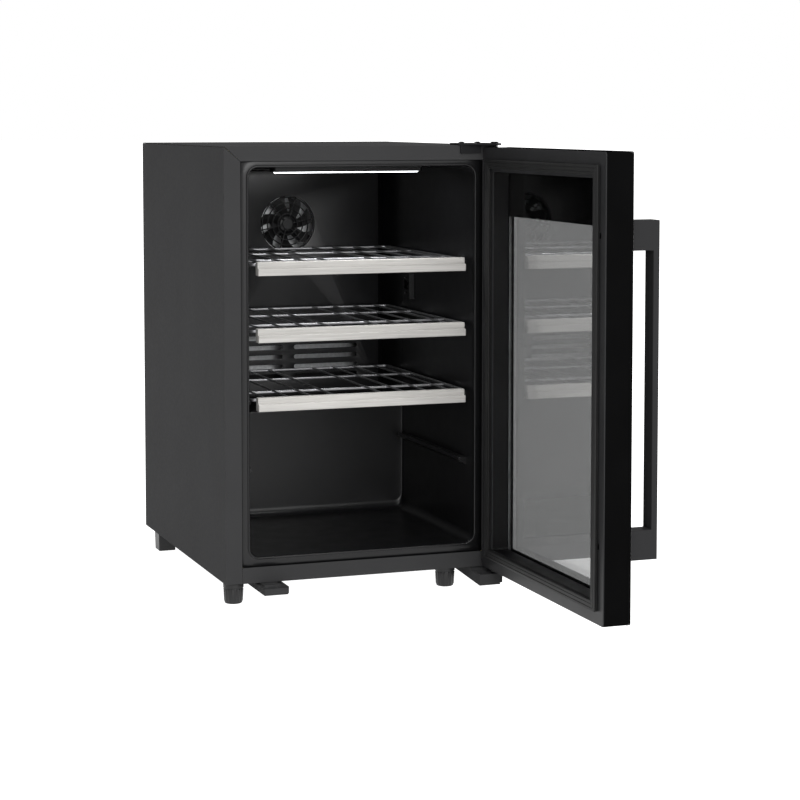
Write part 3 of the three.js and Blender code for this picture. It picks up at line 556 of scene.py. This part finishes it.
def foot_grip(angle, height):
    return 0.45 * math.cos(angle * 16) if 3 < height < 22 else 0.0


def screw_foot(node):
    low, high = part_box(node)
    centre = Vector(((low.x + high.x) / 2, (low.y + high.y) / 2, 0))
    top = high.z / MM
    bm = bmesh.new()
    profile = [
        (0, 0), (11.6, 0), (12.8, 0.7), (13.2, 1.8), (13.2, 3), (13.5, 3.4), (14.5, 21.6), (14.2, 22.2),
        (14.2, 23), (15.1, 23.6), (15.2, 24.4), (15.2, top - 0.6), (14.6, top), (0, top),
    ]
    turned(bm, profile, centre, sides=96, ripple=foot_grip)
    finished(f"{node}_finish", bm, "black_plastic", frame["nodes"][node]["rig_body"], [node])


screw_foot("front_left_foot")
screw_foot("front_right_foot")


def rear_foot(node):
    """A solid moulded block, a little narrower at the floor."""
    low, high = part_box(node)
    draft = 0.8 * MM
    levels = []
    for z, inset in ((low.z, draft), (high.z, 0)):
        left, right, front, back = low.x + inset, high.x - inset, low.y + inset, high.y - inset
        levels.append([(left, front, z), (right, front, z), (right, back, z), (left, back, z)])
    bm = bmesh.new()
    under, over = ([bm.verts.new(corner) for corner in level] for level in levels)
    bm.faces.new(under[::-1])
    bm.faces.new(over)
    for k in range(4):
        following = (k + 1) % 4
        bm.faces.new((under[k], under[following], over[following], over[k]))
    finished(f"{node}_finish", bm, "black_plastic", "cabinet", [node], 1.2, 3)


rear_foot("rear_left_foot")
rear_foot("rear_right_foot")

# -------------------------------------------------------------- hinge hardware

refine("top_hinge_plate", 0.4, 3)
refine("lower_hinge_bracket", 0.9, 3)
refine("front_left_bracket", 0.9, 3)
refine("top_hinge_pin", 0.25)
refine("lower_hinge_pin", 0.25)
refine("upper_hinge_bush", 0.25)
refine("lower_hinge_bush", 0.25)


def cross_recess(bm, centre, top, reach=2.4, half=0.5, depth=1.2):
    """Adds a cross-shaped plug that ends a hair above the head and stands for its cross recess."""
    star = [
        (half, half), (half, reach), (-half, reach), (-half, half), (-reach, half), (-reach, -half),
        (-half, -half), (-half, -reach), (half, -reach), (half, -half), (reach, -half), (reach, half),
    ]
    extrusion(bm, lambda a, b, c: centre + Vector((a, b, c)) * MM, star, top - depth, top + 0.02)


def plate_screw(node):
    low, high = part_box(node)
    centre = Vector(((low.x + high.x) / 2, (low.y + high.y) / 2, 0))
    base, top = low.z / MM, high.z / MM
    bm = bmesh.new()
    profile = [
        (0, base), (2.2, base), (2.2, top - 1.7), (4.5, top - 1.7), (4.6, top - 1.5), (4.6, top - 1.1),
        (4.2, top - 0.6), (3.4, top - 0.25), (2.4, top - 0.08), (1.2, top), (0, top),
    ]
    turned(bm, profile, centre, sides=40)
    finished(f"{node}_finish", bm, "black_steel", "cabinet", [node])
    recess = bmesh.new()
    cross_recess(recess, centre, top)
    finished(f"{node}_recess", recess, "black_steel", "cabinet")


plate_screw("top_hinge_screw_1")
plate_screw("top_hinge_screw_2")

# ------------------------------------------------------------------------ door

refine("door_frame", 0.9, 3, "door_plastic")
refine("door_front_glass", 0.5, 2)
refine("door_inner_glass", 0.3, 2, "clear_glass")
refine("glass_spacer", 0.2)
refine("display_module", 0.5)
refine("handle", 1.0, 4)
refine("handle_screw_lower", 0.2)
refine("handle_screw_upper", 0.2)


def glass_print(name, outer, low, high):
    """The black border printed on a pane, deeper at the top where it hides the display."""
    bm = bmesh.new()
    plate_with_window(bm, door_at, rounded_rect(*outer, 3), rounded_rect(*WINDOW, 2.5), low, high)
    finished(name, bm, "glass_print", "door")


glass_print("front_glass_print", grown(DOOR, -0.6), DOOR_OUTER + GLASS + 0.03, DOOR_OUTER + GLASS + 0.12)
glass_print(
    "inner_glass_print",
    grown(RECESS, PANE_MARGIN),
    INNER_GLASS_BACK - GLASS - 0.12,
    INNER_GLASS_BACK - GLASS - 0.03,
)


GASKET_INSET, GASKET_WIDTH = 18, 14


def door_gasket():
    """A magnetic seal: a foot, a bellows on each side and a grooved face, mitred at the corners."""
    base = DOOR_INNER + 0.3
    half = [
        (1.6, 0.0), (0.7, 0.1), (0.3, 0.6), (0.6, 1.1), (1.5, 1.4), (1.6, 1.7), (1.4, 2.0), (0.5, 2.3),
        (0.1, 2.9), (0.1, 3.7), (0.5, 4.4), (1.3, 4.8), (2.4, 5.0), (3.6, 5.0), (4.1, 4.4), (4.7, 4.4),
        (5.2, 5.0),
    ]
    section = half + [(GASKET_WIDTH - inset, height) for inset, height in reversed(half)]
    bm = bmesh.new()
    mitred_ring(bm, door_at, grown(DOOR, -GASKET_INSET), [(i, base + h) for i, h in section])
    finished("door_gasket_finish", bm, "rubber", "door", ["door_gasket"], sharp=50)


door_gasket()


def door_edge_band():
    """The glossy black profile that wraps the door's four narrow sides and the edge of its glass."""
    bm = bmesh.new()
    for reach, depth, low, high in (
        (0.12, 0.36, DOOR_OUTER + GLASS + 0.35, DOOR_INNER - 1.6),
        (-0.2, 0.15, DOOR_OUTER + 0.5, DOOR_OUTER + GLASS + 0.4),
    ):
        outer, inner = (rounded_rect(*grown(DOOR, -inset), 4) for inset in (reach, reach + depth))
        plate_with_window(bm, door_at, outer, inner, low, high)
    finished("door_edge_band", bm, "gloss_plastic", "door")


door_edge_band()


def recess_shade_sheet():
    """A near-black sheet on the four walls of the frame's opening, in front of the inner pane, darker than
    the frame plastic: painted shade for the recess.
    """
    bm = bmesh.new()
    outlines = (rounded_rect(*RECESS, 4), rounded_rect(*grown(RECESS, -0.3), 3.7))
    plate_with_window(bm, door_at, *outlines, INNER_GLASS_BACK + 0.5, DOOR_INNER - 1.2)
    # the recess walls are drawn darker than the frame: painted shade
    finished("recess_shade_sheet", bm, "painted_recess_shade", "door")


recess_shade_sheet()

# --------------------------------------------------------------------- shelves


def shelf_rack(index, bottom):
    """Round wires welded on a bent frame, their front ends held in the wooden rail."""
    node = f"shelf_{index}_rack"
    z = bottom + WIRE_RISE
    bm = bmesh.new()
    ring = rounded(
        [at(x * RUNNER_HALF, y, z) for x, y in (
            (0, RACK_BACK - 4), (1, RACK_BACK - 4), (1, RACK_FRONT + 4), (-1, RACK_FRONT + 4),
            (-1, RACK_BACK - 4), (0, RACK_BACK - 4))],
        9 * MM,
    )
    sweep(bm, ring[:-1], 2.4 * MM, 14, closed=True)
    for y in ((RACK_FRONT + RACK_BACK) / 2 - 90, (RACK_FRONT + RACK_BACK) / 2 + 60):
        sweep(bm, [at(-RUNNER_HALF, y, z - 0.4), at(RUNNER_HALF, y, z - 0.4)], 2.1 * MM)
    for x in (-146, -110, -74, -38, 38, 74, 110, 146):
        top = z + 1.4
        path = rounded(
            [at(x, RAIL_BACK - 6, z), at(x, RAIL_BACK + 4, top), at(x, RACK_BACK - 4, top),
             at(x, RACK_BACK - 1.5, z - 1)],
            4 * MM,
            4,
        )
        sweep(bm, path, 1.5 * MM, 10)
    finished(f"{node}_finish", bm, "rack_wire", f"shelf_{index}", [node], sharp=60)


for number, height in enumerate(RAIL_BOTTOMS, 1):
    shelf_rack(number, height)
    refine(f"shelf_{number}_rail", 0.7, 3)

# ------------------------------------------------------------ air cover, light

COVER_HALF, COVER_LOW, COVER_HIGH, COVER_FRONT = 158, 262, 628, 386
FAN_Z, FAN_HOLE = 540, 46


def air_cover():
    """A moulded duct cover with return slots below and a wire-like guard in front of the fan."""
    slots = []
    for row in range(5):
        z = COVER_LOW + 22 + row * 16
        slots += [rounded_rect(x, z, x + 110, z + 7, 3.4) for x in (-120, 10)]
    border = rounded_rect(-COVER_HALF, COVER_LOW, COVER_HALF, COVER_HIGH, 10, 8)
    bm = flat_plate([border, circle(0, FAN_Z, FAN_HOLE, 72), *slots], 2.4, 0.7)
    for vertex in bm.verts:
        x, z, depth = vertex.co / MM
        vertex.co = at(x, COVER_FRONT + 1.2 - depth, z)
    inner = rounded_rect(-COVER_HALF + 2.4, COVER_LOW + 2.4, COVER_HALF - 2.4, COVER_HIGH - 2.4, 8, 8)
    plate_with_window(bm, at, border, inner, COVER_FRONT + 2, LINER_DEPTH - 0.4)
    for radius in (8, 17, 26, 35, 44):
        ring = [at(x, COVER_FRONT + 1.2, z) for x, z in circle(0, FAN_Z, radius, 60)]
        sweep(bm, ring, 1.1 * MM, 10, closed=True)
    for turn in range(6):
        a = math.radians(60 * turn + 12)
        ends = [at(r * math.cos(a), COVER_FRONT + 1.6, FAN_Z + r * math.sin(a)) for r in (7, FAN_HOLE + 0.5)]
        sweep(bm, ends, 1.2 * MM, 10)
    hub = [(0, -1.4), (6.4, -1.4), (7.6, -0.8), (8, 0.2), (8, 1.6), (0, 1.6)]
    turned(bm, [(r, -h) for r, h in hub], at(0, COVER_FRONT + 1.2, FAN_Z), "-y", 40)
    finished("air_cover_finish", bm, "liner_plastic", "cabinet", ["air_cover"], sharp=40)


air_cover()
refine("fan_motor", 0.6, 2)
refine("evaporator_plate", 0.3)
refine("lamp_housing", 0.4)
refine("lamp_diffuser", 0.2)
refine("sensor_cover", 0.6, 3)


def circulation_fan():
    """A hub with seven twisted, swept blades."""
    low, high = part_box("circulation_fan")
    centre = (low + high) / 2
    reach = (high.x - low.x) / 2 / MM
    bm = bmesh.new()
    hub = [(0, 4.6), (9, 4.6), (12, 4), (13.6, 2.6), (14, 1), (14, -4.4), (13.4, -5), (0, -5)]
    turned(bm, hub, centre, "y", 40)
    blades, spans = 7, 8
    for blade in range(blades):
        front, back = [], []
        for i in range(spans + 1):
            share = i / spans
            r = 12 + (reach - 12.4) * share
            turn = 2 * math.pi * blade / blades + 0.35 * share**1.5
            half = 9 + 3 * math.sin(share * math.pi * 0.7)
            pitch = math.radians(38 - 16 * share)
            radial = Vector((math.cos(turn), 0, math.sin(turn)))
            along = Vector((-math.sin(turn), 0, math.cos(turn)))
            chord = along * math.cos(pitch) + Vector((0, math.sin(pitch), 0))
            normal = chord.cross(radial).normalized()
            limit = min(half, 4.6 / math.sin(pitch))
            row = [(-1, 0.15), (-0.5, 0.75), (0, 0.95), (0.5, 0.75), (1, 0.15)]
            points = [(radial * r + chord * limit * c + normal * 0.9 * (1 - c * c), t) for c, t in row]
            front.append([bm.verts.new(centre + (p + normal * t) * MM) for p, t in points])
            back.append([bm.verts.new(centre + (p - normal * t) * MM) for p, t in points])
        for i in range(spans):
            for k in range(4):
                bm.faces.new((front[i][k], front[i][k + 1], front[i + 1][k + 1], front[i + 1][k]))
                bm.faces.new((back[i][k], back[i + 1][k], back[i + 1][k + 1], back[i][k + 1]))
            for k in (0, 4):
                bm.faces.new((front[i][k], front[i + 1][k], back[i + 1][k], back[i][k]))
        for i in (0, spans):
            for k in range(4):
                bm.faces.new((front[i][k], back[i][k], back[i][k + 1], front[i][k + 1]))
    finished("circulation_fan_finish", bm, "black_plastic", "fan", ["circulation_fan"], sharp=40)


circulation_fan()

# ------------------------------------------------------------------ cooling set

refine("compressor", 0.8, 3)
for number in range(1, 5):
    refine(f"rubber_mount_{number}", 0.4)
refine("relay_box", 0.8, 3)
refine("coil_clamp_left", 0.4)
refine("coil_clamp_right", 0.4)
refine("filter_drier", 0.0)
refine("capillary_tube", 0.0, sharp=70)
refine("suction_pipe", 0.0, sharp=60)
refine("drip_tray", 0.5)
refine("drain_pipe", 0.3)
refine("electronics_box", 0.8, 3)
refine("inlet_plate", 0.3)
refine("power_inlet", 0.5, 3)

COIL_Y, COIL_HALF, COIL_LOW, COIL_PITCH, COIL_PASSES, COIL_BEND = 494, 176, 262, 37, 11, 12
DRIER_X, DRIER_TOP = -196, 204.3
OUTLET = (108.6, 442, 143)


def condenser():
    """A steel serpentine with straight wires welded on both faces."""
    points = [at(*OUTLET), at(COIL_HALF, 442, 143), at(COIL_HALF, COIL_Y, 157)]
    side = 1
    for i in range(COIL_PASSES):
        z = COIL_LOW + i * COIL_PITCH
        points += [at(side * COIL_HALF, COIL_Y, z), at(-side * COIL_HALF, COIL_Y, z)]
        side = -side
    points[-1] = at(DRIER_X, COIL_Y, COIL_LOW + (COIL_PASSES - 1) * COIL_PITCH)
    points.append(at(DRIER_X, COIL_Y, DRIER_TOP))
    bm = bmesh.new()
    sweep(bm, rounded(points, COIL_BEND * MM, 8), 2.4 * MM, 14)
    top = COIL_LOW + (COIL_PASSES - 1) * COIL_PITCH
    wires = 44
    for i in range(wires):
        x = -COIL_HALF + 16 + i * (2 * COIL_HALF - 32) / (wires - 1)
        for y in (COIL_Y - 3, COIL_Y + 3):
            if y < COIL_Y and abs(abs(x) - 120) < 10:
                continue
            sweep(bm, [at(x, y, COIL_LOW - 6), at(x, y, top + 6)], 0.7 * MM, 8)
    finished("condenser_coil_finish", bm, "black_steel", "cabinet", ["condenser_coil"], sharp=60)


condenser()

# ----------------------------------------------------------------------- stage

FLOOR_RADIUS = 60.0
FLOOR_DROP = 0.0005  # under the feet, so that nothing lies in the plane of the floor
FLOOR_GLOW, FLOOR_GLOW_ON_MATT = 1.12, 0.55
WORLD_SEEN, WORLD_AS_LIGHT = 1.0, 0.35
TARGET = (0, 0, 0.35)


def floor():
    bm = bmesh.new()
    bmesh.ops.create_circle(bm, cap_ends=True, segments=96, radius=FLOOR_RADIUS)
    mesh = bpy.data.meshes.new("floor")
    bm.to_mesh(mesh)
    bm.free()
    look = Look("floor", (0.45, 0.45, 0.45), 0.7, Specular_IOR_Level=0.2, Emission_Color=(1, 1, 1, 1))
    look.gloss(look.noise(3, 3), 0.65, 0.8)
    rays = look.node("ShaderNodeLightPath")
    level = look.spread(rays.outputs["Is Diffuse Ray"], FLOOR_GLOW, FLOOR_GLOW_ON_MATT, 0, 1)
    look.link(level, look.shader.inputs["Emission Strength"])
    mesh.materials.append(look.material)
    plane = bpy.data.objects.new("floor", mesh)
    plane.location.z = -FLOOR_DROP
    bpy.context.scene.collection.objects.link(plane)


def area_light(name, place, target, width, height, power):
    data = bpy.data.lights.new(name, "AREA")
    data.shape = "RECTANGLE"
    data.size, data.size_y = width, height
    data.energy = power
    lamp = bpy.data.objects.new(name, data)
    lamp.location = place
    lamp.rotation_euler = (Vector(target) - Vector(place)).to_track_quat("-Z", "Y").to_euler()
    bpy.context.scene.collection.objects.link(lamp)


def world():
    """White where it is seen directly or through glass, a dim grey as a source of light."""
    made = bpy.data.worlds.new("studio")
    made.use_nodes = True
    tree = made.node_tree
    shade = tree.nodes["Background"]
    rays = tree.nodes.new("ShaderNodeLightPath")
    seen = tree.nodes.new("ShaderNodeMath")
    seen.operation = "MAXIMUM"
    tree.links.new(rays.outputs["Is Camera Ray"], seen.inputs[0])
    tree.links.new(rays.outputs["Is Transmission Ray"], seen.inputs[1])
    level = tree.nodes.new("ShaderNodeMapRange")
    level.inputs["To Min"].default_value = WORLD_AS_LIGHT
    level.inputs["To Max"].default_value = WORLD_SEEN
    tree.links.new(seen.outputs["Value"], level.inputs["Value"])
    shade.inputs["Color"].default_value = (1, 1, 1, 1)
    tree.links.new(level.outputs["Result"], shade.inputs["Strength"])
    bpy.context.scene.world = made


def ceiling():
    data = bpy.data.lights.new("ceiling", "SUN")
    data.energy, data.angle = 1.9, math.radians(110)
    made = bpy.data.objects.new("ceiling", data)
    made.rotation_euler = (math.radians(22), math.radians(8), 0)
    bpy.context.scene.collection.objects.link(made)


def cabinet_lamp():
    """The light of the LED strip, just under its diffuser and leaning to the back."""
    low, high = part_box("lamp_diffuser")
    middle = (low + high) / 2
    place = (middle.x, middle.y, low.z - 1.5 * MM)
    area_light("cabinet_lamp", place, (middle.x, middle.y + 0.06, 0.3), width=0.22, height=0.014, power=0.5)


floor()
world()
ceiling()
area_light("key", (0.1, -4.4, 1.9), TARGET, width=2.2, height=2.2, power=94)
area_light("fill", (2.8, 2.6, 1.8), TARGET, width=1.8, height=1.8, power=12)
cabinet_lamp()

# ---------------------------------------------------------------------- camera

LENS = 97.954
SENSOR = 36
CAMERA_PLACE = (-1052.3, -3053.8, 718.05)
CAMERA_YAW, CAMERA_PITCH = 19.962, 4.311
CAMERA_SHIFT = -0.15


def camera():
    data = bpy.data.cameras.new("camera")
    data.sensor_width, data.lens = SENSOR, LENS
    data.shift_y = CAMERA_SHIFT
    data.clip_end = 200
    made = bpy.data.objects.new("camera", data)
    made.location = at(*CAMERA_PLACE)
    made.rotation_euler = Euler((math.radians(90 - CAMERA_PITCH), 0, -math.radians(CAMERA_YAW)))
    bpy.context.scene.collection.objects.link(made)
    bpy.context.scene.camera = made


camera()
bpy.context.scene.view_settings.view_transform = "Standard"
